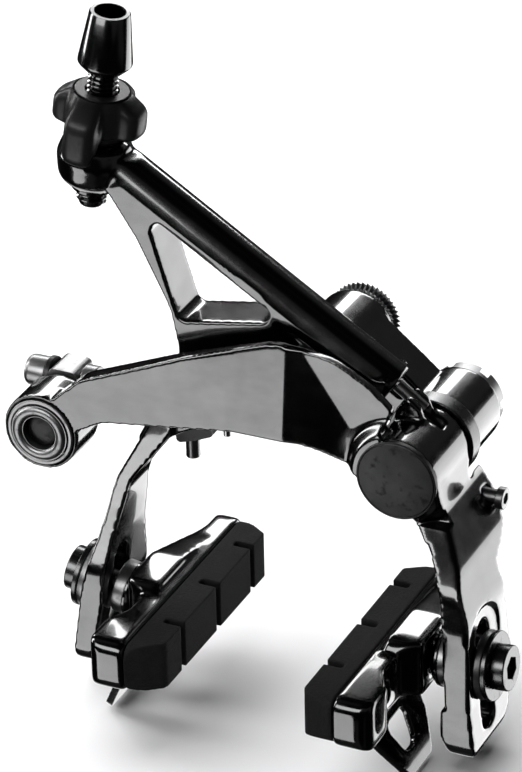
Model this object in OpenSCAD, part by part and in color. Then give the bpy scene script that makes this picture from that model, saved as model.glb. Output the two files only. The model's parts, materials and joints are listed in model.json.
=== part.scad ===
// Dual-pivot side-pull rim brake caliper.
// Origin: on the frame bolt's axis, where the serrated washer's teeth meet the frame.
// +Y points into the frame, +X towards the side pivot, +Z up. Millimetres.

/* [Frame mounting] */
// Length of the threaded socket for the frame bolt
socket_depth = 14; // [10:1:18]
// Core radius of the M6 socket for the frame bolt
socket_r = 2.5; // [2.4:0.05:2.6]
// Tooth-tip radius of the serrated washer
washer_r = 7.6; // [7:0.1:7.7]
// Number of teeth on the serrated washer
washer_teeth = 30; // [24:1:36]

/* [Pivots] */
// Side pivot, distance to the side of the frame bolt
side_x = 22.4; // [22:0.1:23]
// Side pivot, height relative to the frame bolt
side_z = -12.4; // [-12.8:0.1:-12]
// Outer radius of the front arm's pivot hub
hub_r = 8.25; // [8:0.05:8.5]
// Radius of the centre spindle in its bushings
spindle_r = 4; // [3.8:0.1:4.2]
// Radius of the side pivot bolt in its bushings
side_bolt_r = 3.5; // [3.3:0.1:3.7]
// Radial running clearance of the pivots
running_gap = 0.03; // [0.01:0.01:0.08]

/* [Cable adjuster] */
// Lean of the barrel axis towards the side pivot, degrees
barrel_lean = 8; // [7:0.5:9]
// Thread radius of the barrel
thread_r = 3; // [2.9:0.05:3]
// Radius of the socket that takes the cable housing
housing_r = 2.9; // [2.7:0.05:3]
// Reach of the knob's side lobes from its axis
knob_reach = 9.2; // [8.8:0.1:9.6]
// Reach of the knob's front and back lobes from its axis
knob_depth = 10.4; // [10:0.1:10.5]

/* [Cable anchor] */
// Anchor eye, distance to the side of the frame bolt
eye_x = -53.6; // [-54:0.2:-53]
// Anchor eye, height relative to the frame bolt
eye_z = -18.7; // [-19:0.1:-18.4]
// Outer radius of the anchor eye
eye_r = 8; // [7.8:0.1:8.2]

/* [Brake shoes] */
// Half the gap between the two friction faces, brake open
rim_half_gap = 15; // [14.5:0.5:15.5]
// Height of the pad bolts, brake open
pad_z = -48; // [-48.5:0.5:-47.5]
// Distance of the pad bolts in front of the frame
pad_y = -39.5; // [-40:0.5:-39]
// Length of a brake shoe along the rim
shoe_length = 55; // [53:1:56]
// Height of a brake shoe
shoe_height = 10.8; // [10.4:0.2:11]
// Tilt of the right pad bolt, degrees
tilt_right = 4; // [3:0.5:5]
// Tilt of the left pad bolt, degrees
tilt_left = 9; // [8:0.5:10]

/* [Hidden] */
$fn = 64;

// Distances along Y: the frame is at 0 and the rider's side is negative
bridge_front = -17.75;
bridge_back = -5.5;
bar_front = -16.8;
bar_back = -7;
ring_front = -21.8;
arm_a_front = -30;
arm_a_back = -20;
arm_a_mid = (arm_a_front + arm_a_back) / 2;
arm_b_front = -38;
plate_b_back = -33.4;
rib_b_back = -30.6;
cap_front = -38.4;
socket_end = 0.5;
shoulder_gap = 0.15;

// Barrel axis: its foot is the centre of the boss's top face
boss_top = [-45.2, arm_a_mid, 41];

// Height of the cable clamp bolt
clamp_z = -13.4;

// Distance of the preload screw to the side
preload_x = -27.2;

// Tip of the centring screw, on the upper arm's tail
centring_at = [17.5, -26, 1.1];

// Where the ear's screw stands, in Y and Z
ear_screw_at = [-20.4, -22.4];

// Foot of the return spring's post on the back of the bridge, in X and Z
post_at = [10.2, -9.2];

// Pad arms: the plate's middle plane and thickness at the pad bolt
plate_mid = 38.6;
plate_thick = 5.2;
slot_up = 6.6;
slot_down = 11;
slot_half_width = 2.9;
pad_bolt_r = 2.5;
recess_up = 12;
recess_down = 6.6;

// Wheel guide: its sheet leaves the shoe at guide_x and flares outwards
guide_x = 25;
guide_top = -53.8;
guide_angle = 29;
guide_thick = 1.5;

black = [0.03, 0.03, 0.035];
satin_black = [0.09, 0.09, 0.1];
steel = [0.78, 0.79, 0.8];
satin_grey = [0.3, 0.3, 0.32];
rubber = [0.16, 0.16, 0.17];
bronze = [0.6, 0.45, 0.25];
plastic = [0.05, 0.05, 0.05];

// ---------- helpers ----------

function unit(v) = v / norm(v);

// One corner of an outline, rounded to radius r as an arc of n + 1 points
function corner(p, q, s, r, n) =
    let (a = unit(p - q), b = unit(s - q), half = acos(a * b) / 2,
         cut = r / tan(half), centre = q + unit(a + b) * r / sin(half),
         first = q + a * cut - centre, last = q + b * cut - centre)
    [for (i = [0:n]) centre + unit(first * (n - i) + last * i) * r];

// An outline given as [x, y, corner radius] triples
function outline(pts, n = 5) =
    let (c = len(pts))
    [for (i = [0:c - 1])
        let (p = pts[(i + c - 1) % c], q = pts[i], s = pts[(i + 1) % c])
        each (q[2] > 0
            ? corner([p[0], p[1]], [q[0], q[1]], [s[0], s[1]], q[2], n)
            : [[q[0], q[1]]])];

// An outline in X and Z, extruded along Y
module along_y(from, to) {
    translate([0, to, 0]) rotate([90, 0, 0]) linear_extrude(to - from) children();
}

// An outline in Y and Z, extruded along X
module along_x(from, to) {
    translate([from, 0, 0]) rotate([90, 0, 90]) linear_extrude(to - from) children();
}

module rod_y(r, from, to, x = 0, z = 0) {
    translate([x, from, z]) rotate([-90, 0, 0]) cylinder(r = r, h = to - from);
}

module tube_y(r, bore, from, to, x = 0, z = 0) {
    difference() {
        rod_y(r, from, to, x, z);
        rod_y(bore, from - 1, to + 1, x, z);
    }
}

module rod_x(r, from, to) {
    translate([from, 0, 0]) rotate([0, 90, 0]) cylinder(r = r, h = to - from);
}

module tube_x(r, bore, from, to) {
    difference() {
        rod_x(r, from, to);
        rod_x(bore, from - 1, to + 1);
    }
}

module tube_z(r, bore, from, to) {
    difference() {
        translate([0, 0, from]) cylinder(r = r, h = to - from);
        translate([0, 0, from - 1]) cylinder(r = bore, h = to - from + 2);
    }
}

// The barrel's own frame: its Z runs up the barrel from the boss's top face
module on_barrel() {
    translate(boss_top) rotate([0, barrel_lean, 0]) children();
}

// A right-hand piece, or its mirror image on the left
module on_side(left) {
    if (left) mirror([1, 0, 0]) children();
    else children();
}

// The pad bolt's own frame: X runs outwards along the bolt from the plate's middle
module on_pad_bolt(tilt) {
    translate([plate_mid, pad_y, pad_z]) rotate([0, -tilt, 0]) children();
}

// ---------- frame side ----------

module bridge_plate() {
    color(black) difference() {
        union() {
            rod_y(8, bridge_front, bridge_back);
            rod_y(8.1, bridge_front, bridge_back, side_x, side_z);
            along_y(bar_front, bar_back) polygon(outline([
                [3.6, 7.1, 2], [15.2, -2.2, 4], [side_x, side_z + 4, 0], [side_x, side_z - 5, 0],
                [12, -13, 6], [-4, -9.2, 4], [-7.8, -1.5, 3], [-5, 6, 4]]));
        }
        rod_y(spindle_r, bridge_front - 1, bridge_back + 1);
        rod_y(side_bolt_r, bridge_front - 1, bridge_back + 1, side_x, side_z);
        // highlight groove along the bar's front edge
        along_y(bar_front - 1, bar_front + 1.2) polygon(outline([
            [3.4, 4.9, 0.8], [15.8, -5.4, 0.8], [14.2, -7.4, 0.8], [1.8, 2.9, 0.8]]));
        rod_y(1.25, bar_back - 6, bar_back + 1, post_at[0], post_at[1]);
    }
}

module centre_spindle() {
    color(steel) difference() {
        union() {
            rod_y(spindle_r, arm_a_front + 2.2, socket_end);
            rod_y(6.2, arm_a_front + 0.2, arm_a_front + 2.2);
        }
        rod_y(socket_r, socket_end - socket_depth, socket_end + 1);
        along_y(arm_a_front, arm_a_front + 1.6) circle(r = 2.6, $fn = 6);
    }
}

module serrated_washer() {
    notch = 360 / washer_teeth;
    color(steel) difference() {
        rod_y(washer_r, bridge_back + shoulder_gap, 0);
        rod_y(spindle_r, -9, 1);
        for (i = [0:washer_teeth - 1])
            rotate([0, i * notch, 0]) along_x(spindle_r - 1, washer_r + 1)
                polygon([[-1.5, 0], [0.5, -0.86], [0.5, 0.86]]);
    }
}

module side_pivot_bolt() {
    color(steel) difference() {
        union() {
            rod_y(side_bolt_r, -35.4, -1.6, side_x, side_z);
            rod_y(5.6, -37, -35.4, side_x, side_z);
        }
        along_y(-37.1, -35) translate([side_x, side_z]) circle(r = 2.4, $fn = 6);
    }
}

module side_pivot_nut() {
    slots = 6;
    color(steel) difference() {
        rod_y(7.35, bridge_back, -2.2, side_x, side_z);
        rod_y(side_bolt_r, bridge_back - 1, -1, side_x, side_z);
        for (i = [0:slots - 1])
            translate([side_x, -2.9, side_z]) rotate([0, i * 360 / slots, 0])
                translate([5.6, -0.9, -1]) cube([3, 2, 2]);
    }
}

module spacer_ring() {
    color(satin_grey) tube_y(8.9, side_bolt_r + running_gap, ring_front + shoulder_gap,
        bridge_front, side_x, side_z);
}

module centre_thrust_washer() {
    color(bronze) tube_y(7.4, spindle_r, arm_a_back + shoulder_gap, bridge_front);
}

module spindle_head_washer() {
    color(steel) tube_y(5.8, spindle_r, arm_a_front + 2.2, arm_a_front + 2.9);
}

module spring_post() {
    color(steel) union() {
        rod_y(1.25, bar_back - 6, bar_back, post_at[0], post_at[1]);
        rod_y(2.6, bar_back, bar_back + 4.2, post_at[0], post_at[1]);
    }
}

// Wire spring: a coil round the post, and a leg that runs under the hub to the upper arm
module return_spring() {
    $fn = 32;
    wire = 0.75;
    coil_r = 3.6;
    coil_y = bar_back + 1.1;
    drop = 3.4;
    reach = post_at[0] - preload_x - 7;
    run = norm([reach, drop]);
    color(steel) translate([post_at[0], coil_y, post_at[1]]) union() {
        for (i = [0:1])
            translate([0, i * 1.7, 0]) rotate([90, 0, 0])
                rotate_extrude() translate([coil_r, 0]) circle(r = wire);
        translate([0, 0, -coil_r]) rotate([0, -90 - asin(drop / run), 0]) cylinder(r = wire, h = run);
        translate([-reach, 0, -coil_r - drop]) sphere(r = wire);
        translate([-reach, 0, -coil_r - drop]) rotate([90, 0, 0]) cylinder(r = wire, h = 17);
        translate([-reach, -17, -coil_r - drop]) sphere(r = wire);
        translate([-reach, -17, -coil_r - drop]) rotate([180, 0, 0]) cylinder(r = wire, h = 3.6);
    }
}

// ---------- upper arm: centre-pivoted, carries the cable housing and the left shoe ----------

// The slanting upper beam, a bar with a round back
beam_from = [-42.5, 36.9];
beam_to = [16.4, -0.2];
beam_r = 4.8;

module upper_beam() {
    run = beam_to - beam_from;
    angle = atan2(run[1], run[0]);
    translate([beam_from[0], arm_a_mid, beam_from[1]]) rotate([0, -angle, 0])
        rotate([90, 0, 90]) linear_extrude(norm(run)) difference() {
            union() {
                circle(r = beam_r);
                translate([-beam_r, -1.4]) square([2 * beam_r, 2.4]);
            }
            translate([-10, -11.4]) square([20, 10]);
        }
}

// Front view of the arm's body, from the window down to the left leg
module upper_body_outline() {
    difference() {
        polygon(outline([
            [-41.6, 33.2, 0], [-38, 34.6, 0], [4, 8.2, 0], [14.6, 3.2, 1.6], [18.4, 4.2, 0.8],
            [15.6, 0.2, 1.2], [11, -1.8, 3], [8.6, -6.4, 4], [2, -10.4, 6], [-8, -10.4, 8],
            [-18.6, -13.2, 6], [-26.6, -17.2, 5], [-35, -22.6, 1.2], [-36.6, -20.6, 1.2],
            [-31.2, -10.4, 8], [-26.6, 0.6, 6], [-28.4, 9.6, 10], [-35.2, 23.4, 6]]));
        polygon(outline([
            [-33.4, 30, 2], [-26.5, 7.6, 1.8], [-6.6, 11.2, 2.2], [-8.6, 16.6, 3]]));
    }
}

// The left leg seen from the front
module left_leg_outline() {
    polygon(outline([
        [-26, -12, 2], [-29.6, -19, 4], [-34.7, -26, 5], [-35.3, -36, 8], [-36.2, -48, 0],
        [-38.9, -62.6, 1.2], [-43.4, -63, 1.4], [-41.2, -48, 0], [-38.5, -35, 8],
        [-37.9, -26, 6], [-33, -15, 3], [-29, -9, 1]]));
}

// A leg seen from the side: given its front edge, it sweeps forwards to the pad bolt
function leg_side(front, root_back, top, foot) = outline(concat(front, [
    [-48, foot, 3.6], [-29, foot, 8.6], [-27.4, -47, 6], [-29, -38, 8], [-28, -28, 8],
    [root_back, top - 6, 6], [root_back, top, 0]]));

module left_leg() {
    inset = 0.5;
    intersection() {
        along_y(-49, arm_a_back + 1) left_leg_outline();
        along_x(-46, -20) polygon(leg_side(
            [[arm_a_front + inset, -8, 0], [-29.8, -15, 6], [-34, -21, 10], [-40, -30, 12],
            [-44, -35, 8], [-48, -41.5, 8]], arm_a_back - inset, -8, -63.6));
    }
}

module pad_slot(tilt) {
    on_pad_bolt(tilt) {
        for (z = [-slot_down, slot_up])
            translate([0, 0, z]) rod_x(slot_half_width, -8, 8);
        translate([-8, -slot_half_width, -slot_down])
            cube([16, 2 * slot_half_width, slot_up + slot_down]);
        translate([-plate_thick / 2 - 6, -9.6, -recess_down])
            cube([6, 22, recess_up + recess_down]);
        // spot face for the outer washer, as long as its travel
        for (z = [-1.2, 5.2])
            translate([0, 0, z]) rod_x(7.4, 2.6, 9);
        translate([2.6, -7.4, -1.2]) cube([6.4, 14.8, 6.4]);
    }
}

module upper_arm() {
    color(black) difference() {
        union() {
            upper_beam();
            along_y(arm_a_front, arm_a_back) upper_body_outline();
            rod_y(9.4, arm_a_front, arm_a_back);
            on_barrel() rotate_extrude() polygon(outline([
                [0, 0, 0], [6.6, 0, 1], [7.6, -3.4, 2], [6.9, -7.8, 3], [3.6, -10.8, 1], [0, -10.8, 0]]));
            left_leg();
        }
        rod_y(5, arm_a_front - 1, arm_a_back + 1);
        rod_y(6.6, arm_a_front - 1, arm_a_front + 3);
        on_barrel() translate([0, 0, -12]) cylinder(r = 4.1, h = 14);
        // seat the knob's lobes swing through
        on_barrel() tube_z(11, 6.8, -1.4, 6);
        on_side(true) pad_slot(tilt_left);
        translate([preload_x, -24, -25]) cylinder(r = 1.45, h = 12);
    }
}

module upper_arm_bushings() {
    color(bronze) {
        tube_y(5, spindle_r + running_gap, arm_a_front + 3.05, arm_a_front + 6);
        tube_y(5, spindle_r + running_gap, arm_a_back - 3.2, arm_a_back);
    }
}

module boss_insert() {
    color(steel) on_barrel() tube_z(4.1, thread_r + running_gap, -10.6, -0.2);
}

module spring_bracket() {
    color(plastic) difference() {
        along_y(-26.6, -21.4) polygon(outline([
            [-30, -18, 0], [-22.6, -14, 0], [-21.6, -18.6, 0.8], [-25.6, -20.4, 0.8],
            [-29.4, -21.6, 0.8]]));
        along_y(-31, -19) upper_body_outline();
        translate([preload_x, -24, -27]) cylinder(r = 1.45, h = 14);
        left_leg();
    }
}

module preload_screw() {
    color(steel) translate([preload_x, -24, 0]) difference() {
        translate([0, 0, -25.4]) cylinder(r = 1.45 - running_gap, h = 11.8);
        translate([0, 0, -26.4]) cylinder(r = 0.8, h = 2.4, $fn = 6);
    }
}

// ---------- cable adjuster ----------

// One quarter of the knob's outline, seen from above, as points from side to front
knob_quarter = [
    [knob_reach, 3.2, 1.4], [4.9, 6.2, 1.2], [4.4, 8.4, 1.2], [1.8, knob_depth, 0.8]];

module knob_outline() {
    polygon(outline(concat(
        knob_quarter,
        [for (i = [3:-1:0]) let (q = knob_quarter[i]) [-q[0], q[1], q[2]]],
        [for (q = knob_quarter) [-q[0], -q[1], q[2]]],
        [for (i = [3:-1:0]) let (q = knob_quarter[i]) [q[0], -q[1], q[2]]])));
}

// Side lobes stand clear of the boss; the front and back lobes hang over its edge
module adjuster_knob() {
    color(satin_black) on_barrel() difference() {
        intersection() {
            rotate_extrude() polygon(outline([
                [0, 0.2, 0], [4.2, 0.2, 0], [7, 2, 1], [7, -1.2, 0.4], [10.6, -1.2, 1],
                [10.6, 7.4, 1.6], [6.6, 10.6, 1], [0, 10.6, 0]]));
            translate([0, 0, -2]) linear_extrude(14) knob_outline();
            union() {
                translate([-11, -4.6, 2.6]) cube([22, 9.2, 9]);
                translate([-5.6, -11, -2]) cube([11.2, 22, 14]);
            }
        }
        translate([0, 0, 9.9]) cylinder(r = 5.5, h = 3);
        translate([0, 0, -1]) cylinder(r = thread_r + 2 * running_gap, h = 13);
    }
}

module knob_washer() {
    color(satin_grey) on_barrel() tube_z(5.3, thread_r + 0.3, 9.95, 10.7);
}

module barrel_adjuster() {
    color(black) on_barrel() difference() {
        rotate_extrude() polygon(outline([
            [0, -14.2, 0], [2.5, -14.2, 0], [thread_r, -13.6, 0], [thread_r, 14.4, 0],
            [3.4, 14.6, 0], [5.35, 16.6, 0.5], [4, 27.4, 0.3], [0, 27.4, 0]]));
        translate([0, 0, 17]) cylinder(r = housing_r, h = 11);
        translate([0, 0, -15]) cylinder(r = 1.3, h = 34);
    }
}

module housing_liner() {
    color(plastic) on_barrel() tube_z(1.3, 0.9, -14, 16.8);
}

// ---------- front arm: side-pivoted, carries the cable anchor and the right shoe ----------

// Rib behind the lower half of the front arm's plate
module front_rib_outline() {
    polygon(outline([
        [eye_x + 5, eye_z - 1, 0], [-41, -12.6, 6], [-14, -8.8, 20], [3, -8.6, 20], [12.6, -11.6, 4],
        [17, -15, 0], [side_x, side_z, 0], [14, -6, 6], [3, -3.6, 12], [-14, -4, 20],
        [-42, -8.4, 8], [eye_x + 4, eye_z + 4, 0]]));
}

module front_plate_outline() {
    polygon(outline([
        [eye_x + 2, eye_z + 7.2, 0], [-44.4, -5.2, 6], [-23, 3.7, 30], [-4, 10.2, 9], [8, 9, 12],
        [16, 4.6, 10], [20.6, 0.4, 1], [18.6, -3.2, 0], [side_x, side_z, 0], [17, -17, 0],
        [13.4, -13.2, 4], [3, -9.8, 20], [-14, -10, 20], [-40, -13.8, 8], [eye_x + 5, eye_z, 0]]));
}

module right_leg_outline() {
    polygon(outline([
        [21, -18, 0], [25.2, -20.2, 1], [30.8, -25, 10], [34.6, -31, 8], [35.9, -40, 6],
        [35.3, -60, 4], [37, -64.8, 1.6], [42.8, -65, 1.6], [41.6, -54, 12], [41.1, -36, 10],
        [37.4, -27, 8], [31.4, -18.4, 1.5], [30.3, -10, 0], [side_x, -10, 0]]));
}

// The ear beside the bridge's hub, seen from the side
ear_side = outline([
    [-36, -12, 0], [-23.4, -14, 0], [-23, -19.4, 0.8], [-21.2, -16.8, 1.8], [-16.8, -17, 2.4],
    [-17.4, -24.4, 3], [-22.6, -28.8, 4], [-29, -32, 2], [-38, -34, 0]]);

module front_arm() {
    color(black) difference() {
        union() {
            along_y(arm_b_front, plate_b_back) front_plate_outline();
            along_y(plate_b_back - 1, rib_b_back) front_rib_outline();
            rod_y(eye_r, arm_b_front, arm_b_front + 10, eye_x, eye_z);
            rod_y(hub_r, arm_b_front, ring_front, side_x, side_z);
            intersection() {
                along_y(-49, ring_front + 1) right_leg_outline();
                along_x(14, 44) polygon(leg_side(
                    [[-37.6, -9, 0], [-37.6, -20.4, 2], [-40.2, -23.4, 8], [-46, -30, 8],
                    [-48, -38, 8]], ring_front - 0.5, -9, -65.6));
            }
            intersection() {
                along_y(-44, -13) right_leg_outline();
                along_x(30.9, 44) polygon(ear_side);
            }
            // lug that carries the centring screw
            along_y(-29, -23.4) polygon(outline([
                [side_x - 5, -8, 0], [18.2, -2.6, 0.6], [20.8, 0.4, 0.8], [23.2, -1.8, 0.8],
                [25, -6, 0]]));
        }
        rod_y(4.6, -37.4, ring_front + 1, side_x, side_z);
        rod_y(6.4, arm_b_front - 1, -35, side_x, side_z);
        rod_y(5.2, arm_b_front - 1, -27, eye_x, eye_z);
        rod_y(7.3, arm_b_front - 1, arm_b_front + 1.2, eye_x, eye_z);
        pad_slot(tilt_right);
        translate(centring_at) rotate([0, 126, 0]) cylinder(r = 1.3, h = 12);
        translate([29, ear_screw_at[0], ear_screw_at[1]]) rotate([0, 90, 0]) cylinder(r = 1.5, h = 12);
    }
}

module front_arm_bushings() {
    color(bronze) {
        tube_y(4.6, side_bolt_r + running_gap, -35, -31, side_x, side_z);
        tube_y(4.6, side_bolt_r + running_gap, -26, ring_front, side_x, side_z);
    }
}

module hub_cap() {
    plug_r = 6.4;
    lid_r = hub_r - 0.05;
    color(black) translate([side_x, cap_front, side_z]) rotate([-90, 0, 0])
        rotate_extrude() polygon(outline([
            [0, 0, 0], [lid_r, 0, 0.35], [lid_r, arm_b_front - cap_front, 0],
            [plug_r, arm_b_front - cap_front, 0], [plug_r, 1, 0], [0, 1, 0]], 2));
}

module centring_screw() {
    color(steel) translate(centring_at) rotate([0, 126, 0]) difference() {
        cylinder(r = 1.3 - running_gap, h = 7);
        translate([0, 0, 6]) cylinder(r = 0.7, h = 2, $fn = 6);
    }
}

module ear_screw() {
    color(steel) translate([0, ear_screw_at[0], ear_screw_at[1]]) difference() {
        union() {
            rod_x(1.5 - running_gap, 31, 36);
            rod_x(2.2, 36, 37.6);
        }
        translate([36.8, 0, 0]) rotate([0, 90, 0]) cylinder(r = 1.1, h = 2, $fn = 6);
    }
}

module eye_bushing() {
    color(bronze) tube_y(5.2, 4.5 + running_gap, arm_b_front + 1.9, -28, eye_x, eye_z);
}

module anchor_pin() {
    color(steel) difference() {
        union() {
            rod_y(4.5, arm_b_front + 0.6, -27.3, eye_x, eye_z);
            rod_y(6, arm_b_front - 0.5, arm_b_front + 1.15, eye_x, eye_z);
            // clamp block behind the eye
            along_y(-27.6, -20.4) polygon(outline([
                [eye_x - 3.4, -20, 0], [eye_x - 3.4, -10.2, 1.5], [eye_x + 3, -10.2, 1.5],
                [eye_x + 3, -20, 0]]));
        }
        rod_y(3.6, arm_b_front - 1, arm_b_front + 4.4, eye_x, eye_z);
        translate([0, -24, clamp_z]) rod_x(1.6, eye_x - 6, eye_x + 6);
    }
}

module anchor_ring() {
    color(steel) tube_y(7.1, 6.15, arm_b_front - 0.3, arm_b_front + 1, eye_x, eye_z);
}

module clamp_bolt() {
    color(steel) translate([eye_x, -24, clamp_z]) difference() {
        union() {
            rod_x(3.2, -9.4, -4.7);
            rod_x(1.6 - running_gap, -4.7, 6.8);
        }
        translate([-9.6, 0, 0]) rotate([0, 90, 0]) cylinder(r = 1.6, h = 2.6, $fn = 6);
    }
}

module clamp_washer() {
    color(satin_grey) translate([eye_x, -24, clamp_z]) tube_x(3.6, 1.65, -4.65, -3.5);
}

module clamp_plate() {
    color(steel) translate([eye_x, -24, clamp_z]) tube_x(3.3, 1.6, 3.1, 6);
}

// ---------- brake shoes, drawn for the right and mirrored for the left ----------

shoe_front = pad_y - 1.3 - shoe_length / 2;
shoe_rear = shoe_front + shoe_length;
seam = 21.8;

// Height of a shoe's middle: each hangs a little below its bolt
function shoe_z(left) = pad_z - (left ? 0.6 : 1.5);

// The shoe seen from the side, with its long axis along Y
module shoe_outline(left, inset) {
    low = shoe_z(left) - shoe_height / 2 + inset;
    high = shoe_z(left) + shoe_height / 2 - inset;
    polygon(outline([
        [shoe_front + inset, low, 2.6], [shoe_rear - inset, low, 2.6],
        [shoe_rear - inset, high, 2.6], [shoe_front + inset, high, 2.6]]));
}

module shoe_holder(left, tilt) {
    color(black) on_side(left) difference() {
        union() {
            // channel that takes the pad, seen from above
            intersection() {
                along_x(20, 31) shoe_outline(left, 0);
                translate([0, 0, pad_z - 10]) linear_extrude(20) polygon(outline([
                    [seam, shoe_front, 0], [29.6, shoe_front, 3], [29.6, shoe_front + 9, 5],
                    [27, shoe_front + 14, 5], [27, shoe_rear, 2], [seam, shoe_rear, 0]]));
            }
            // boss for the bolt, tapering off to the rear
            intersection() {
                along_x(24, 31.6) polygon(outline([
                    [pad_y - 9.5, pad_z - 6, 3], [pad_y + 22, pad_z - 5, 3],
                    [pad_y + 22, pad_z + 4, 3], [pad_y + 4, pad_z + 6.4, 4],
                    [pad_y - 9.5, pad_z + 6.4, 3]]));
                translate([0, 0, pad_z - 8]) linear_extrude(16) polygon(outline([
                    [24, pad_y - 9.5, 0], [27, pad_y - 9.5, 1], [31.4, pad_y - 7, 1.5],
                    [31.4, pad_y + 3, 6], [27, pad_y + 21, 3], [24, pad_y + 22, 0]]));
            }
        }
        // spherical seat for the cup washer
        on_pad_bolt(tilt) translate([-1, 0, 0]) sphere(r = 7.6);
        on_pad_bolt(tilt) rod_x(3.2, -13, 0);
        // pocket for the pad screw
        translate([0, pad_y - 15.5, pad_z - 1.2]) rotate([0, 90, 0]) cylinder(r = 1.55, h = 40);
        translate([seam + 2.6, pad_y - 17.6, pad_z - 3.2]) cube([8, 4.2, 4]);
        // slit that takes the wheel guide's root
        on_guide() translate([-21.3, -4]) cube([23.2, 5.4, guide_thick + 0.1]);
    }
}

module pad(left) {
    slots = 3;
    pitch = 15.8;
    nose = left ? 23.6 : 26.6;
    color(rubber) on_side(left) difference() {
        intersection() {
            translate([0, 0, pad_z - 10]) linear_extrude(20) polygon(outline([
                [seam, shoe_front + 0.2, 0], [seam, shoe_rear - 0.2, 0],
                [rim_half_gap, pad_y + 21.6, 0.6], [rim_half_gap, pad_y - nose, 2]]));
            along_x(10, 26) shoe_outline(left, 0.4);
        }
        for (i = [0:slots - 1])
            translate([rim_half_gap - 1, pad_y + (i - 1) * pitch - 0.8, pad_z - 10])
                cube([4.8, 1.6, 20]);
    }
}

module pad_screw(left) {
    color(steel) on_side(left) translate([0, pad_y - 15.5, pad_z - 1.2]) difference() {
        rod_x(1.5, seam + 0.2, seam + 5.2);
        translate([seam + 4, 0, 0]) rotate([0, 90, 0]) cylinder(r = 0.8, h = 2, $fn = 6);
    }
}

// The wheel guide's own frame: X runs along the rim, Y up the sheet, Z through it
module on_guide() {
    translate([guide_x, pad_y, guide_top]) rotate([0, -guide_angle, 0])
        rotate([90, 0, 90]) translate([0, 0, -guide_thick / 2 - 0.05]) children();
}

// Flared loop under the shoe that steers the rim between the pads
module wheel_guide(left) {
    color(black) on_side(left) on_guide() translate([0, 0, 0.05]) linear_extrude(guide_thick)
        difference() {
            polygon(outline([
                [-21, 1.2, 0.8], [-20.5, -5, 5], [-15.6, -14.8, 3], [-5.2, -14.8, 3],
                [-0.6, -8, 5], [1.6, 1.2, 0.8]]));
            polygon(outline([
                [-15.6, -3.4, 1.6], [-13, -10.6, 2], [-8.4, -10.6, 2], [-6, -3.4, 1.6]]));
        }
}

module pad_bolt(left, tilt) {
    color(satin_black) on_side(left) on_pad_bolt(tilt) difference() {
        union() {
            rod_x(pad_bolt_r, -10.6, 5.4);
            rod_x(4.5, 5.4, 8.2);
        }
        translate([6.8, 0, 0]) rotate([0, 90, 0]) cylinder(r = 2.3, h = 3, $fn = 6);
    }
}

module flange_washer(left, tilt) {
    color(satin_black) on_side(left) on_pad_bolt(tilt) tube_x(6.9, pad_bolt_r, 4.3, 5.4);
}

module outer_washer(left, tilt) {
    color(steel) on_side(left) on_pad_bolt(tilt) difference() {
        rotate([0, 90, 0]) rotate_extrude() polygon(outline([
            [pad_bolt_r, 2.7, 0], [7, 2.7, 0.4], [6.6, 4.3, 0], [pad_bolt_r, 4.3, 0]]));
    }
}

module inner_ring(left, tilt) {
    color(steel) on_side(left) on_pad_bolt(tilt) tube_x(5.4, pad_bolt_r, -5.2, -2.7);
}

// Cup washer with a spherical face that lets the shoe be angled
module cup_washer(left, tilt) {
    color(black) on_side(left) on_pad_bolt(tilt) difference() {
        intersection() {
            translate([-1, 0, 0]) sphere(r = 7.3);
            rod_x(5.6, -9, -5.2);
        }
        rod_x(pad_bolt_r, -10, 0);
    }
}

// Threaded insert in the shoe that takes the pad bolt
module bolt_insert(left, tilt) {
    color(steel) on_side(left) on_pad_bolt(tilt) tube_x(3.2, pad_bolt_r, -12.4, -8.9);
}

bridge_plate();
centre_spindle();
serrated_washer();
side_pivot_bolt();
side_pivot_nut();
spacer_ring();
centre_thrust_washer();
spindle_head_washer();
spring_post();
return_spring();
upper_arm();
upper_arm_bushings();
boss_insert();
spring_bracket();
preload_screw();
adjuster_knob();
knob_washer();
barrel_adjuster();
housing_liner();
front_arm();
front_arm_bushings();
hub_cap();
centring_screw();
ear_screw();
eye_bushing();
anchor_pin();
anchor_ring();
clamp_bolt();
clamp_washer();
clamp_plate();
shoe_holder(true, tilt_left);  // left_shoe_holder
pad(true);  // left_pad
pad_screw(true);  // left_pad_screw
wheel_guide(true);  // left_wheel_guide
pad_bolt(true, tilt_left);  // left_pad_bolt
flange_washer(true, tilt_left);  // left_flange_washer
outer_washer(true, tilt_left);  // left_outer_washer
inner_ring(true, tilt_left);  // left_inner_ring
cup_washer(true, tilt_left);  // left_cup_washer
bolt_insert(true, tilt_left);  // left_bolt_insert
shoe_holder(false, tilt_right);  // right_shoe_holder
pad(false);  // right_pad
pad_screw(false);  // right_pad_screw
wheel_guide(false);  // right_wheel_guide
pad_bolt(false, tilt_right);  // right_pad_bolt
flange_washer(false, tilt_right);  // right_flange_washer
outer_washer(false, tilt_right);  // right_outer_washer
inner_ring(false, tilt_right);  // right_inner_ring
cup_washer(false, tilt_right);  // right_cup_washer
bolt_insert(false, tilt_right);  // right_bolt_insert
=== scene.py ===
import json
import math

import bmesh
import bpy
from mathutils import Matrix, Vector

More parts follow.
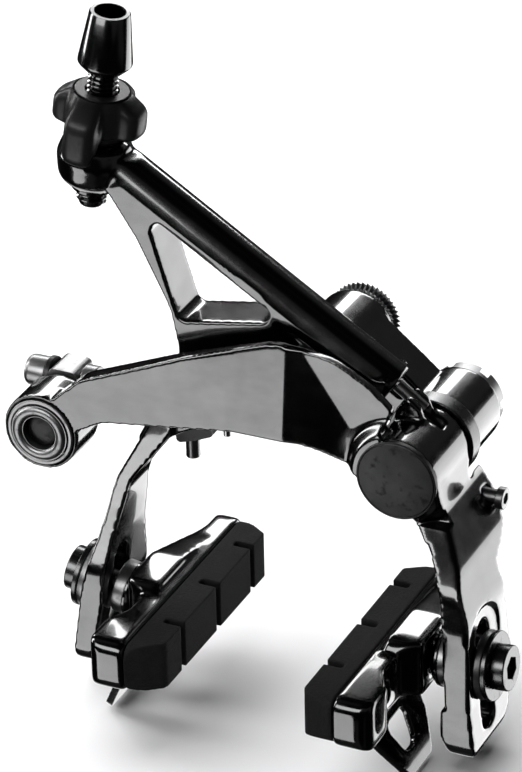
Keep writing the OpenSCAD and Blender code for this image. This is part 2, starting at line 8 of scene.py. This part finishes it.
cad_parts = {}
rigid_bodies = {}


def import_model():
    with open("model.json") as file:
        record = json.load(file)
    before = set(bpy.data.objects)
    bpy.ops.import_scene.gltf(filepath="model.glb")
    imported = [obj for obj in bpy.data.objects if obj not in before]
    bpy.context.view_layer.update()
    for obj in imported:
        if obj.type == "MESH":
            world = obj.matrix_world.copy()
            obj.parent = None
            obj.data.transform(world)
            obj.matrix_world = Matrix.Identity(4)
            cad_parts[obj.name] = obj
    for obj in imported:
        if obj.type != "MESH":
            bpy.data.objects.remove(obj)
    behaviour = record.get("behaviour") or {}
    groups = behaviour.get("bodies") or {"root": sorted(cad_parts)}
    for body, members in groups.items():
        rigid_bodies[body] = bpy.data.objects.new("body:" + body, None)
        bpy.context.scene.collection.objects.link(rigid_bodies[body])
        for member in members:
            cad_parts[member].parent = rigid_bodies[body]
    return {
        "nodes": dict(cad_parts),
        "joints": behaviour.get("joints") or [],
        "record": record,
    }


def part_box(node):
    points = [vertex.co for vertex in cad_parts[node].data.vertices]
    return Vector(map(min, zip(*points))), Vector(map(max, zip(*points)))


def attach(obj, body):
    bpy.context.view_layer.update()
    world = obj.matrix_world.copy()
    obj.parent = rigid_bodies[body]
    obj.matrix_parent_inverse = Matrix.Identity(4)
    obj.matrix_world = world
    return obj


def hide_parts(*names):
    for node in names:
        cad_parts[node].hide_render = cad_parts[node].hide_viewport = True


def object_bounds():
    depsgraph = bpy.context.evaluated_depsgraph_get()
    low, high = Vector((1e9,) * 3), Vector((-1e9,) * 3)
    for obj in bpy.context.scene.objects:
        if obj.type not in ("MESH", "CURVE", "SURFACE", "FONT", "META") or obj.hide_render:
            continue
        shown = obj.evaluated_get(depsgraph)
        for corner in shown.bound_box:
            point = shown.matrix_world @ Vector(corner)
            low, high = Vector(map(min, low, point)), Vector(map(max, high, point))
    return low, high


bl_info = {
    "name": "Rim brake caliper",
    "version": (1, 0, 0),
    "blender": (4, 5, 0),
    "location": "View3D > Sidebar > Brake",
    "description": "Dresses a dual-pivot rim brake caliper and lights it",
    "category": "Object",
}

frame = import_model()
cad_low, cad_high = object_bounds()

MM = 0.001
MERGE = 0.002  # mm, closer than this two points are one
USUAL_EDGE = 0.25  # mm, the rounding that the hardware's widths are given for
SOCKET_HEIGHT = 22.2  # mm up the barrel from its foot to the housing socket
BODY_OF = {n: b for b, nodes in frame["record"]["behaviour"]["bodies"].items() for n in nodes}
SLOT_OF = {s["node"]: s["material_slot"] for s in frame["record"]["subparts"]}
MOUNTS = {m["name"]: m for m in frame["record"]["mounts"]}
JOINTS = {j["name"]: j for j in frame["joints"]}
FINISHES = {}


# ---------- shader building ----------


class Value:
    """A shader socket that can be used in ordinary arithmetic."""

    def __init__(self, nodes, socket):
        self.nodes = nodes
        self.socket = socket

    def _math(self, operation, a, b):
        return self.nodes.add("ShaderNodeMath", {"operation": operation}, {0: a, 1: b})

    def __add__(self, other):
        return self._math("ADD", self, other)

    __radd__ = __add__

    def __mul__(self, other):
        return self._math("MULTIPLY", self, other)

    __rmul__ = __mul__


class Nodes:
    """One material's node tree, built with one method for any node."""

    def __init__(self, name):
        self.material = bpy.data.materials.new(name + "_finish")
        self.material.use_nodes = True
        self.tree = self.material.node_tree
        self.shader = self.tree.nodes["Principled BSDF"]
        self.place = self.add("ShaderNodeTexCoord", out="Object")

    def add(self, kind, settings=None, inputs=None, out=0):
        node = self.tree.nodes.new(kind)
        for key, value in (settings or {}).items():
            setattr(node, key, value)
        for key, value in (inputs or {}).items():
            if isinstance(value, Value):
                self.tree.links.new(value.socket, node.inputs[key])
            else:
                node.inputs[key].default_value = value
        return Value(self, node.outputs[out])

    def fix(self, **constants):
        for key, value in constants.items():
            self.shader.inputs[key.replace("_", " ")].default_value = value

    def drive(self, name, value):
        self.tree.links.new(value.socket, self.shader.inputs[name])

    def stretched(self, scale):
        """Object coordinates stretched along each axis."""
        return self.add("ShaderNodeMapping", None, {"Vector": self.place, "Scale": scale})

    def noise(self, scale, detail=3.0, roughness=0.55, vector=None):
        return self.add("ShaderNodeTexNoise", None, {
            "Vector": vector or self.place, "Scale": scale, "Detail": detail,
            "Roughness": roughness})

    def clamp(self, value, low, high):
        return self.add("ShaderNodeMapRange", {"clamp": True}, {
            0: value, 1: low, 2: high, 3: 0.0, 4: 1.0})

    def blend(self, factor, first, second):
        return self.add("ShaderNodeMix", {"data_type": "RGBA"}, {
            0: factor, 6: first, 7: second}, out=2)

    def bump(self, height, strength, distance):
        self.drive("Normal", self.add("ShaderNodeBump", None, {
            "Height": height, "Strength": strength, "Distance": distance * MM}))


def grey(value):
    """A grey, very slightly cool."""
    return (value, value, value * 1.01, 1.0)


def gloss_anodised(name, tone, roughness):
    """Polished and anodised forging: deep gloss with faint flow marks and handling haze."""
    n = Nodes(name)
    flow = n.noise(90, 4, 0.6, n.stretched((1, 1, 2.4)))
    haze = n.clamp(n.noise(260, 3, 0.5), 0.35, 0.75)
    wear = n.clamp(n.noise(35, 5, 0.6), 0.62, 0.8)
    n.drive("Base Color", n.blend(flow, grey(tone * 0.75), grey(tone * 1.45)))
    n.drive("Roughness", roughness + haze * 0.07 + wear * 0.05)
    n.bump(n.noise(1400, 2, 0.5), 0.035, 0.05)
    n.fix(Metallic=1.0, Specular_IOR_Level=0.5, Coat_Weight=0.8, Coat_Roughness=0.05,
          Coat_IOR=1.6)
    return n.material


def dark_plastic(name, tone, roughness):
    """Moulded plastic with a fine spark-eroded grain."""
    n = Nodes(name)
    grain = n.noise(2600, 3, 0.6)
    cloud = n.noise(120, 3, 0.5)
    n.drive("Base Color", n.blend(cloud, grey(tone * 0.8), grey(tone * 1.35)))
    n.drive("Roughness", roughness + n.clamp(grain, 0.3, 0.8) * 0.12)
    n.bump(grain, 0.22, 0.06)
    n.fix(Metallic=0.0, Specular_IOR_Level=0.3, Coat_Weight=0.04, Coat_Roughness=0.3)
    return n.material


def turned_metal(name, tone, roughness):
    """Turned and polished metal: fine tool lines and a little grime."""
    n = Nodes(name)
    lines = n.noise(900, 2, 0.5, n.stretched((0.35, 4.0, 0.35)))
    cloud = n.noise(180, 4, 0.6)
    grime = n.clamp(n.noise(420, 4, 0.6), 0.56, 0.74)
    clean = n.blend(cloud, grey(tone * 0.86), grey(tone * 1.06))
    n.drive("Base Color", n.blend(grime * 0.35, clean, grey(tone * 0.45)))
    n.drive("Roughness", roughness + lines * 0.1 + grime * 0.14)
    n.bump(lines, 0.01, 0.03)
    n.fix(Metallic=1.0, Specular_IOR_Level=0.5)
    return n.material


def bronze_metal(name, tone):
    """Sintered bronze with open pores."""
    n = Nodes(name)
    pores = n.clamp(n.noise(2200, 3, 0.6), 0.5, 0.62)
    cloud = n.noise(300, 3, 0.5)
    dark = tuple(c * 0.6 for c in tone) + (1.0,)
    n.drive("Base Color", n.blend(cloud, dark, (*tone, 1.0)))
    n.drive("Roughness", 0.34 + pores * 0.2)
    n.bump(pores, 0.15, 0.04)
    n.fix(Metallic=1.0)
    return n.material


def pad_compound(name, tone):
    """Moulded brake rubber: matt, speckled, scuffed on the face that meets the rim."""
    n = Nodes(name)
    speck = n.clamp(n.noise(2400, 4, 0.7), 0.42, 0.72)
    cloud = n.noise(200, 4, 0.6)
    scuff = n.clamp(n.noise(700, 3, 0.6, n.stretched((1.0, 0.16, 1.0))), 0.5, 0.75)
    base = n.blend(cloud, grey(tone * 0.78), grey(tone * 1.25))
    n.drive("Base Color", n.blend(speck * 0.35 + scuff * 0.2, base, grey(tone * 2.0)))
    n.drive("Roughness", 0.55 + speck * 0.15)
    n.bump(speck + scuff * 0.5, 0.6, 0.12)
    n.fix(Metallic=0.0, Specular_IOR_Level=0.07)
    return n.material


def stage_floor(name, tone):
    """Matt white studio floor."""
    n = Nodes(name)
    cloud = n.noise(6, 3, 0.5)
    n.drive("Base Color", n.blend(cloud, grey(tone * 0.985), grey(tone)))
    n.fix(Roughness=0.75, Specular_IOR_Level=0.2)
    return n.material


def make_finishes(s):
    """Every material slot of the record, by name."""
    return {
        "black_anodised": gloss_anodised("black_anodised", s.anodised_tone, 0.16),
        "gloss_black": gloss_anodised("gloss_black", s.anodised_tone * 0.8, 0.14),
        "black_steel": turned_metal("black_steel", 0.12, 0.2),
        "polished_steel": turned_metal("polished_steel", s.steel_tone, 0.3),
        "spring_steel": turned_metal("spring_steel", 0.5, 0.22),
        "grey_anodised": turned_metal("grey_anodised", 0.045, 0.36),
        "bronze": bronze_metal("bronze", (0.6, 0.42, 0.2)),
        "black_plastic": dark_plastic("black_plastic", 0.006, 0.3),
        "pad_rubber": pad_compound("pad_rubber", s.rubber_tone),
    }


# ---------- mesh building ----------


def merged_copy(node):
    """A copy of a CAD node as a bmesh with its doubles merged."""
    bm = bmesh.new()
    bm.from_mesh(frame["nodes"][node].data)
    bmesh.ops.remove_doubles(bm, verts=bm.verts, dist=MERGE * MM)
    bmesh.ops.dissolve_degenerate(bm, edges=bm.edges, dist=MERGE * MM)
    return bm


def join_flats(bm):
    """Joins the triangles of each flat face, so that a bevel sees only real edges."""
    bmesh.ops.dissolve_limit(bm, angle_limit=math.radians(1.0), verts=bm.verts,
                             edges=bm.edges, delimit=set())


def place(bm, name, nodes, slot=None, body=None, smooth=30):
    """Turns a bmesh into a piece that stands for CAD nodes and rides on their body."""
    mesh = bpy.data.meshes.new(name)
    bm.to_mesh(mesh)
    bm.free()
    piece = bpy.data.objects.new(name, mesh)
    bpy.context.scene.collection.objects.link(piece)
    slot = slot or SLOT_OF[nodes[0]]
    mesh.materials.append(FINISHES[slot])
    mesh.shade_smooth()
    mesh.set_sharp_from_angle(angle=math.radians(smooth))
    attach(piece, body or BODY_OF[nodes[0]])
    if nodes:
        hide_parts(*nodes)
    return piece


def soften(piece, width):
    """Rounds a piece's edges with a live bevel."""
    bevel = piece.modifiers.new("edges", "BEVEL")
    bevel.width = width * MM
    bevel.segments = 2
    bevel.limit_method = "ANGLE"
    bevel.angle_limit = math.radians(32)
    bevel.harden_normals = True
    bevel.use_clamp_overlap = True


def rounded_solid(node, name, voxel, rounds, sculpt=None):
    """A forged-looking copy of a CAD node: remeshed, sculpted and smoothed."""
    bm = merged_copy(node)
    mesh = bpy.data.meshes.new(name)
    bm.to_mesh(mesh)
    bm.free()
    piece = bpy.data.objects.new(name, mesh)
    bpy.context.scene.collection.objects.link(piece)
    remesh = piece.modifiers.new("remesh", "REMESH")
    remesh.mode = "VOXEL"
    remesh.voxel_size = voxel * MM
    remesh.adaptivity = 0
    smooth = piece.modifiers.new("smooth", "SMOOTH")
    smooth.factor = 0.5
    smooth.iterations = rounds
    graph = bpy.context.evaluated_depsgraph_get()
    shaped = bpy.data.meshes.new_from_object(piece.evaluated_get(graph))
    piece.modifiers.clear()
    piece.data = shaped
    bpy.data.meshes.remove(mesh)
    if sculpt:
        sculpt(shaped)
    shaped.materials.clear()
    shaped.materials.append(FINISHES[SLOT_OF[node]])
    shaped.shade_smooth()
    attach(piece, BODY_OF[node])
    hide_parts(node)


def seat_on(origin, axis):
    """A frame whose Z runs along an axis from an origin."""
    turn = Vector((0, 0, 1)).rotation_difference(Vector(axis).normalized()).to_matrix().to_4x4()
    return Matrix.Translation(Vector(origin)) @ turn


def lathe(profile, origin, axis, steps=72):
    """Spins (radius, height) points round an axis; closed if it starts and ends on the axis."""
    bm = bmesh.new()
    points = [bm.verts.new((r * MM, 0, h * MM)) for r, h in profile]
    edges = [bm.edges.new((a, b)) for a, b in zip(points, points[1:])]
    bmesh.ops.spin(bm, geom=points + edges, cent=(0, 0, 0), axis=(0, 0, 1),
                   angle=math.tau, steps=steps, use_merge=True)
    bmesh.ops.remove_doubles(bm, verts=bm.verts, dist=MERGE * MM)
    bmesh.ops.recalc_face_normals(bm, faces=bm.faces)
    bmesh.ops.transform(bm, matrix=seat_on(origin, axis), verts=bm.verts)
    return bm


def closed_lathe(profile, origin, axis, steps=72):
    """Spins an outline that stays clear of the axis, such as a ring's."""
    return lathe(profile + [profile[0]], origin, axis, steps)


def thread(bm, radius, depth, pitch, low, high, seat):
    """Adds a helical thread to a bmesh, as a ridge spun up the axis of a seat matrix."""
    steps = 40
    turns = int((high - low) / pitch)
    ridge = [(radius - depth - 0.15, -0.46 * pitch), (radius, -0.1 * pitch),
             (radius, 0.1 * pitch), (radius - depth - 0.15, 0.46 * pitch)]
    verts = [bm.verts.new((r * MM, 0, (low + h + pitch / 2) * MM)) for r, h in ridge]
    before = set(bm.verts) - set(verts)
    face = bm.faces.new(verts)
    bmesh.ops.spin(bm, geom=[face], cent=(0, 0, 0), axis=(0, 0, 1),
                   dvec=(0, 0, (high - low - pitch) / (turns * steps) * MM),
                   angle=math.tau * turns, steps=turns * steps, use_merge=False)
    grown = [v for v in bm.verts if v not in before]
    faces = {f for v in grown for f in v.link_faces}
    bmesh.ops.recalc_face_normals(bm, faces=list(faces))
    bmesh.ops.transform(bm, matrix=seat, verts=grown)


def toothed_ring():
    """Knurled washer: two rows of pointed teeth set half a tooth apart."""
    low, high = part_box("serrated_washer")
    deep = (high.y - low.y) / MM
    rim = (high.x - low.x) / 2 / MM
    centre = Vector(((low.x + high.x) / 2, high.y, (low.z + high.z) / 2))
    step = deep / 4
    points_around = 88
    tooth_depth = 1.0
    bm = closed_lathe([
        (4.2, 0), (rim - 1.6, 0), (rim - 1.2, step * 0.2), (rim, step), (rim - 0.9, step * 2),
        (rim, step * 3), (rim - 1.2, deep - step * 0.2), (rim - 1.6, deep), (4.2, deep)],
        centre, (0, -1, 0), points_around)
    for v in bm.verts:
        across = v.co - centre
        r = math.hypot(across.x, across.z) / MM
        if r < rim - tooth_depth:
            continue
        tooth = round(math.atan2(across.z, across.x) / math.tau * points_around)
        row = round(-across.y / MM / step)
        lift = 0.0 if (tooth + row // 2) % 2 else -tooth_depth
        if row == 2:
            lift = -0.2
        scale = (r + lift) / r
        v.co.x = centre.x + across.x * scale
        v.co.z = centre.z + across.z * scale
    return bm


def lobed_knob(foot, axis):
    """A round knob drawn out into two side lobes and two that hang over the boss."""
    bm = closed_lathe([
        (3.05, 9.8), (5.4, 9.8), (5.45, 10.3), (5.75, 10.5), (6.3, 10.3), (7.2, 9.7), (8.2, 9.1),
        (9.0, 8.6), (9.5, 8.1), (9.9, 7.4), (10.0, 6.4), (10.0, 5.2), (10.0, 4.2), (9.8, 3.5),
        (9.4, 3.1), (8.6, 2.9), (7.9, 2.8), (7.2, 2.5), (6.0, 1.9), (4.4, 0.5), (3.05, 0.3)],
        (0, 0, 0), (0, 0, 1), 160)
    for v in bm.verts:
        x, y, w = v.co / MM
        r = math.hypot(x, y)
        if r < 5.7:
            continue
        turn = math.atan2(y, x)
        side = math.exp(-((math.sin(turn) / 0.46) ** 6))
        front = math.exp(-((math.cos(turn) / 0.42) ** 6))
        reach = 6.5 + 2.8 * side + 3.8 * front
        share = (r - 5.7) / 4.3
        grown = 5.7 + share * (reach - 5.7)
        low = 1 - ease(w, 2.6, 8.0)
        w -= front * (3.9 * low * ease(share, 0.3, 0.8) + 0.9 * ease(share, 0.3, 0.9))
        v.co = Vector((x * grown / r, y * grown / r, w)) * MM
    bmesh.ops.transform(bm, matrix=barrel_seat(foot, axis), verts=bm.verts)
    return bm


def eye_disc():
    """Domed grey disc at the bottom of the anchor pin's recess."""
    low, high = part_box("anchor_ring")
    foot = Vector(((low.x + high.x) / 2, high.y + 0.9 * MM, (low.z + high.z) / 2))
    return lathe([(0, 1.15), (1.5, 1.1), (2.8, 0.95), (3.3, 0.75), (3.45, 0.4), (3.45, 0), (0, 0)],
                 foot, (0, -1, 0), 96)


def eye_ring():
    """Domed bright ring round the anchor pin's recess."""
    low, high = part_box("anchor_ring")
    foot = Vector(((low.x + high.x) / 2, low.y, (low.z + high.z) / 2))
    return closed_lathe([(3.62, -0.5), (3.62, 0), (3.75, 0.3), (4.1, 0.6), (4.8, 0.78), (5.4, 0.62),
                         (5.75, 0.35), (5.9, 0), (5.9, -0.5)], foot, (0, -1, 0), 96)


def turned_screw(node, shank):
    """A screw along X: hollowed head with a rounded outer edge, then the shank."""
    low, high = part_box(node)
    rim = (high.y - low.y) / 2 / MM
    end = (high.x - low.x) / MM
    foot = Vector((low.x, (low.y + high.y) / 2, (low.z + high.z) / 2))
    return lathe([
        (0, 1.6), (1.5, 1.5), (1.7, 0.2), (2.0, 0), (rim - 1.0, 0), (rim - 0.4, 0.25),
        (rim - 0.1, 0.7), (rim, 1.3), (rim, 4.5), (rim - 0.2, 4.7), (shank, 4.7), (shank, end),
        (0, end)], foot, (1, 0, 0), 96)


def barrel_seat(foot, axis):
    """The barrel's frame: its height runs up the barrel and its Y stays the caliper's Y."""
    up = Vector(axis).normalized()
    across = Vector((0, 1, 0)).cross(up)
    turn = Matrix((across, (0, 1, 0), up)).transposed().to_4x4()
    return Matrix.Translation(foot) @ turn


def capped_hub():
    """Flat cap with a stepped rim on the end of the front arm's hub."""
    low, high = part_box("hub_cap")
    centre = Vector(((low.x + high.x) / 2, high.y, (low.z + high.z) / 2))
    deep = (high.y - low.y) / MM
    rim = (high.x - low.x) / 2 / MM
    return lathe([
        (0, deep), (rim - 0.62, deep), (rim - 0.5, deep - 0.02), (rim - 0.4, deep - 0.1),
        (rim - 0.3, deep - 0.02), (rim - 0.12, deep - 0.04), (rim, deep - 0.16),
        (rim, 0), (0, 0)], centre, (0, -1, 0), 128)


def ease(value, low, high):
    """0 below low, 1 above high, and smooth between."""
    t = min(max((value - low) / (high - low), 0.0), 1.0)
    return t * t * (3 - 2 * t)


def shape_front_arm(mesh):
    """Leans the front arm's face back towards its top and folds it back right of a crease."""
    hub = Vector(JOINTS["front_arm_pivot"]["pos_m"]) / MM
    crease, fold_run, fold_depth = -1.5, 13.5, 2.2
    lean_slope, lean_from, deepest = 0.11, -12, 2.9
    hub_edge = 8.9
    for v in mesh.vertices:
        x, y, z = v.co / MM
        if y > -34.5 or z < -21:
            continue
        front = 1 - ease(y, -37.6, -35)
        reach = math.hypot(x - hub.x, z - hub.z)
        fold = min(max((x - crease) / fold_run, 0.0), 1.0) * ease(reach, hub_edge, 11.5) * fold_depth
        lean = lean_slope * max(z - lean_from, 0) * ease(x, -46, -8) * ease(reach, hub_edge, 14)
        v.co.y += min(fold + lean, deepest) * front * MM


def shape_upper_arm(mesh):
    """Dishes the front of the web that joins the strut, the beam and the tail."""
    dish_depth = 1.7
    for v in mesh.vertices:
        x, y, z = v.co / MM
        if y > -27 or z < -9:
            continue
        front = 1 - ease(y, -29.6, -27.4)
        below_beam = 1 - ease(z + 0.63 * (x - 4), 3.5, 6.5)
        web = ease(x, -9.5, 3) * dish_depth * below_beam
        v.co.y += web * front * MM


def studio_world(dark, bright):
    """A dim studio with soft bright patches for the gloss to pick up."""
    world = bpy.data.worlds.new("studio")
    world.use_nodes = True
    tree = world.node_tree
    way = tree.nodes.new("ShaderNodeTexCoord")
    patches = tree.nodes.new("ShaderNodeTexNoise")
    patches.inputs["Scale"].default_value = 1.7
    patches.inputs["Detail"].default_value = 0.0
    level = tree.nodes.new("ShaderNodeMapRange")
    level.interpolation_type = "SMOOTHSTEP"
    for key, value in ((1, 0.44), (2, 0.68), (3, dark), (4, bright)):
        level.inputs[key].default_value = value
    tree.links.new(way.outputs["Generated"], patches.inputs["Vector"])
    tree.links.new(patches.outputs[0], level.inputs[0])
    tree.links.new(level.outputs[0], tree.nodes["Background"].inputs["Strength"])
    return world


# ---------- settings ----------


class CaliperFinish(bpy.types.PropertyGroup):
    anodised_tone: bpy.props.FloatProperty(
        name="Anodised tone", description="Brightness of the black arms", default=0.07,
        min=0, max=1, subtype="FACTOR")
    steel_tone: bpy.props.FloatProperty(
        name="Steel tone", description="Brightness of the polished hardware", default=0.3,
        min=0, max=1, subtype="FACTOR")
    rubber_tone: bpy.props.FloatProperty(
        name="Rubber tone", description="Brightness of the pads", default=0.009,
        min=0, max=1, subtype="FACTOR")


class CaliperShape(bpy.types.PropertyGroup):
    edge: bpy.props.FloatProperty(
        name="Hardware edge", description="Rounding of hardware edges", default=USUAL_EDGE * MM,
        min=0, max=0.002, subtype="DISTANCE", unit="LENGTH")
    thread_pitch: bpy.props.FloatProperty(
        name="Thread pitch", description="Pitch of the barrel's thread", default=1.0 * MM,
        min=0.0002, max=0.002, subtype="DISTANCE", unit="LENGTH")
    thread_depth: bpy.props.FloatProperty(
        name="Thread depth", description="Depth of the barrel's thread", default=0.55 * MM,
        min=0.0001, max=0.001, subtype="DISTANCE", unit="LENGTH")
    arm_voxel: bpy.props.FloatProperty(
        name="Arm detail", description="Mesh spacing on the arms", default=0.4 * MM,
        min=0.0002, max=0.002, subtype="DISTANCE", unit="LENGTH")


# ---------- pieces ----------


class BRAKE_OT_arms(bpy.types.Operator):
    """Builds the two forged arms"""

    bl_idname = "brake.arms"
    bl_label = "Arms"

    def execute(self, context):
        voxel = context.scene.brake_shape.arm_voxel / MM
        rounded_solid("upper_arm", "upper_arm_forging", voxel, 11, sculpt=shape_upper_arm)
        rounded_solid("front_arm", "front_arm_forging", voxel, 8, sculpt=shape_front_arm)
        return {"FINISHED"}


class BRAKE_OT_bridge(bpy.types.Operator):
    """Builds the bridge plate that carries both pivots"""

    bl_idname = "brake.bridge"
    bl_label = "Bridge"

    def execute(self, context):
        rounded_solid("bridge_plate", "bridge_forging", 0.33, 5)
        return {"FINISHED"}


class BRAKE_OT_hardware(bpy.types.Operator):
    """Rounds and finishes the turned and stamped hardware"""

    bl_idname = "brake.hardware"
    bl_label = "Hardware"

    def execute(self, context):
        edge = context.scene.brake_shape.edge / MM
        widths = {
            "side_pivot_nut": 0.3, "spacer_ring": 0.3,
            "anchor_pin": 0.9, "anchor_ring": 0.3, "clamp_washer": 0.2,
            "clamp_plate": 0.35, "spring_bracket": 0.3, "preload_screw": 0.2,
            "centring_screw": 0.15, "ear_screw": 0.2, "knob_washer": 0.15,
        }
        plain = ["centre_spindle", "side_pivot_bolt", "centre_thrust_washer", "spring_post",
                 "spindle_head_washer", "upper_arm_bushings", "boss_insert", "housing_liner",
                 "front_arm_bushings", "eye_bushing", "return_spring"]
        for side in ("left", "right"):
            widths.update({
                f"{side}_pad_screw": 0.12, f"{side}_pad_bolt": 0.3, f"{side}_flange_washer": 0.25,
                f"{side}_outer_washer": 0.25, f"{side}_inner_ring": 0.25,
                f"{side}_cup_washer": 0.2})
            plain.append(f"{side}_bolt_insert")
        darker = {"knob_washer": "black_plastic", "spacer_ring": "black_steel"}
        for node, width in widths.items():
            bm = merged_copy(node)
            join_flats(bm)
            piece = place(bm, node + "_finished", [node], darker.get(node))
            soften(piece, width * edge / USUAL_EDGE)
        place(turned_screw("clamp_bolt", 1.5), "clamp_screw", ["clamp_bolt"])
        place(eye_disc(), "eye_disc", [], "grey_anodised", "anchor_body")
        place(eye_ring(), "eye_ring", [], "polished_steel", "anchor_body")
        place(capped_hub(), "hub_cap_finished", ["hub_cap"], "grey_anodised")
        place(toothed_ring(), "toothed_washer", ["serrated_washer"], smooth=15)
        for node in plain:
            obj = frame["nodes"][node]
            slot = "gloss_black" if node == "boss_insert" else SLOT_OF[node]
            obj.data.materials.clear()
            obj.data.materials.append(FINISHES[slot])
        return {"FINISHED"}


class BRAKE_OT_adjuster(bpy.types.Operator):
    """Builds the threaded barrel with its conical ferrule, and the lobed knob"""

    bl_idname = "brake.adjuster"
    bl_label = "Cable adjuster"

    def execute(self, context):
        shape = context.scene.brake_shape
        mount = MOUNTS["housing_socket"]
        axis = Vector(mount["axis"])
        foot = Vector(mount["pos_m"]) - axis * SOCKET_HEIGHT * MM
        core = 3.0 - shape.thread_depth / MM
        bm = closed_lathe([
            (1.3, -14.2), (2.2, -14.2), (core, -13.7), (core, 14.4), (3.3, 14.6), (5.1, 16.4),
            (5.3, 16.7), (5.3, 17.1), (4.0, 27.1), (3.8, 27.4), (3.1, 27.4), (2.9, 27.2),
            (2.9, 17.0), (1.3, 17.0)], foot, axis, 96)
        thread(bm, 3.0, shape.thread_depth / MM, shape.thread_pitch / MM, -13.9, 14.1,
               seat_on(foot, axis))
        place(bm, "threaded_barrel", ["barrel_adjuster"], smooth=40)
        place(lobed_knob(foot, axis), "knob_moulding", ["adjuster_knob"], smooth=50)
        return {"FINISHED"}


class BRAKE_OT_shoes(bpy.types.Operator):
    """Builds the shoes: holders, pads and wheel guides"""

    bl_idname = "brake.shoes"
    bl_label = "Brake shoes"

    def execute(self, context):
        for side in ("left", "right"):
            rounded_solid(f"{side}_shoe_holder", f"{side}_holder_casting", 0.35, 40)
            rounded_solid(f"{side}_pad", f"{side}_pad_moulding", 0.26, 3)
            rounded_solid(f"{side}_wheel_guide", f"{side}_guide_loop", 0.25, 4)
        return {"FINISHED"}


class BRAKE_OT_stage(bpy.types.Operator):
    """Sets the floor, the soft lights and the camera"""

    bl_idname = "brake.stage"
    bl_label = "Stage"

    def execute(self, context):
        scene = context.scene
        stand = Vector((0.31529, -0.71355, 0.41314))
        right = Vector((0.9075, 0.4197, -0.0184))
        up = Vector((-0.1877, 0.4441, 0.8761))
        back = Vector((0.3759, -0.7916, 0.4818))
        lens = bpy.data.cameras.new("camera")
        lens.lens = 209.84
        lens.sensor_width = 36
        lens.clip_start = 0.05
        lens.clip_end = 20
        camera = bpy.data.objects.new("camera", lens)
        turn = Matrix((right, up, back)).transposed().to_4x4()
        camera.matrix_world = Matrix.Translation(stand) @ turn
        scene.collection.objects.link(camera)
        scene.camera = camera

        bm = bmesh.new()
        bmesh.ops.create_grid(bm, x_segments=2, y_segments=2, size=3)
        bmesh.ops.translate(bm, vec=(0, 0, cad_low.z - 0.0005), verts=bm.verts)
        mesh = bpy.data.meshes.new("floor")
        bm.to_mesh(mesh)
        bm.free()
        mesh.materials.append(stage_floor("floor_paint", 0.93))
        floor = bpy.data.objects.new("floor", mesh)
        scene.collection.objects.link(floor)
        floor.visible_glossy = False

        scene.world = studio_world(0.1, 1.3)
        scene.view_settings.view_transform = "Standard"

        centre = (cad_low + cad_high) / 2
        sun = bpy.data.lights.new("sky_panel", "SUN")
        sun.energy = 2.7
        sun.angle = math.radians(70)
        sky = bpy.data.objects.new("sky_panel", sun)
        sky.visible_glossy = False
        sky.rotation_mode = "QUATERNION"
        sky.rotation_quaternion = Vector((0.5, -0.35, -1)).to_track_quat("-Z", "Y")
        scene.collection.objects.link(sky)
        for name, way, away, size, glow in (
                ("left_box", Vector((-0.95, -0.1, 0.3)), 0.6, (0.12, 0.5), 10.0),
                ("back_box", Vector((-0.4, 0.8, 0.5)), 0.6, (0.7, 0.12), 9.0),
                ("back_right_box", Vector((0.5, 0.79, -0.3)), 0.7, (0.5, 0.5), 3.2),
                ("low_front_box", Vector((-0.47, -0.75, -0.5)), 0.7, (0.44, 0.36), 3.0),
                ("high_front_box", Vector((-0.34, -0.8, 0.45)), 0.7, (0.6, 0.3), 4.5),
                ("under_box", Vector((-0.38, 0.49, -0.79)), 0.6, (0.4, 0.3), 1.0)):
            light = bpy.data.lights.new(name, "AREA")
            light.shape = "RECTANGLE"
            light.size, light.size_y = size
            light.energy = glow * math.pi * size[0] * size[1]
            lamp = bpy.data.objects.new(name, light)
            lamp.location = centre + way.normalized() * away
            lamp.rotation_mode = "QUATERNION"
            lamp.rotation_quaternion = (-way).to_track_quat("-Z", "Y")
            scene.collection.objects.link(lamp)
        return {"FINISHED"}


class BRAKE_OT_finishes(bpy.types.Operator):
    """Makes every finish"""

    bl_idname = "brake.finishes"
    bl_label = "Finishes"

    def execute(self, context):
        FINISHES.update(make_finishes(context.scene.brake_finish))
        return {"FINISHED"}


class BRAKE_PT_panel(bpy.types.Panel):
    """Sidebar panel of the brake caliper"""

    bl_label = "Rim brake caliper"
    bl_idname = "BRAKE_PT_panel"
    bl_space_type = "VIEW_3D"
    bl_region_type = "UI"
    bl_category = "Brake"

    def draw(self, context):
        layout = self.layout
        for group in (context.scene.brake_finish, context.scene.brake_shape):
            for key in group.__annotations__:
                layout.prop(group, key)
        for step in STEPS:
            layout.operator(step.bl_idname)


STEPS = (BRAKE_OT_finishes, BRAKE_OT_arms, BRAKE_OT_bridge, BRAKE_OT_hardware,
         BRAKE_OT_adjuster, BRAKE_OT_shoes, BRAKE_OT_stage)
CLASSES = (CaliperFinish, CaliperShape, *STEPS, BRAKE_PT_panel)


def register():
    for cls in CLASSES:
        bpy.utils.register_class(cls)
    bpy.types.Scene.brake_finish = bpy.props.PointerProperty(type=CaliperFinish)
    bpy.types.Scene.brake_shape = bpy.props.PointerProperty(type=CaliperShape)


def unregister():
    del bpy.types.Scene.brake_shape
    del bpy.types.Scene.brake_finish
    for cls in reversed(CLASSES):
        bpy.utils.unregister_class(cls)


def main():
    for o in list(bpy.context.scene.objects):
        if o.name in ("Cube", "Light", "Camera"):
            bpy.data.objects.remove(o)
    register()
    for step in STEPS:
        group, name = step.bl_idname.split(".")
        getattr(getattr(bpy.ops, group), name)()


if __name__ == "__main__":
    main()
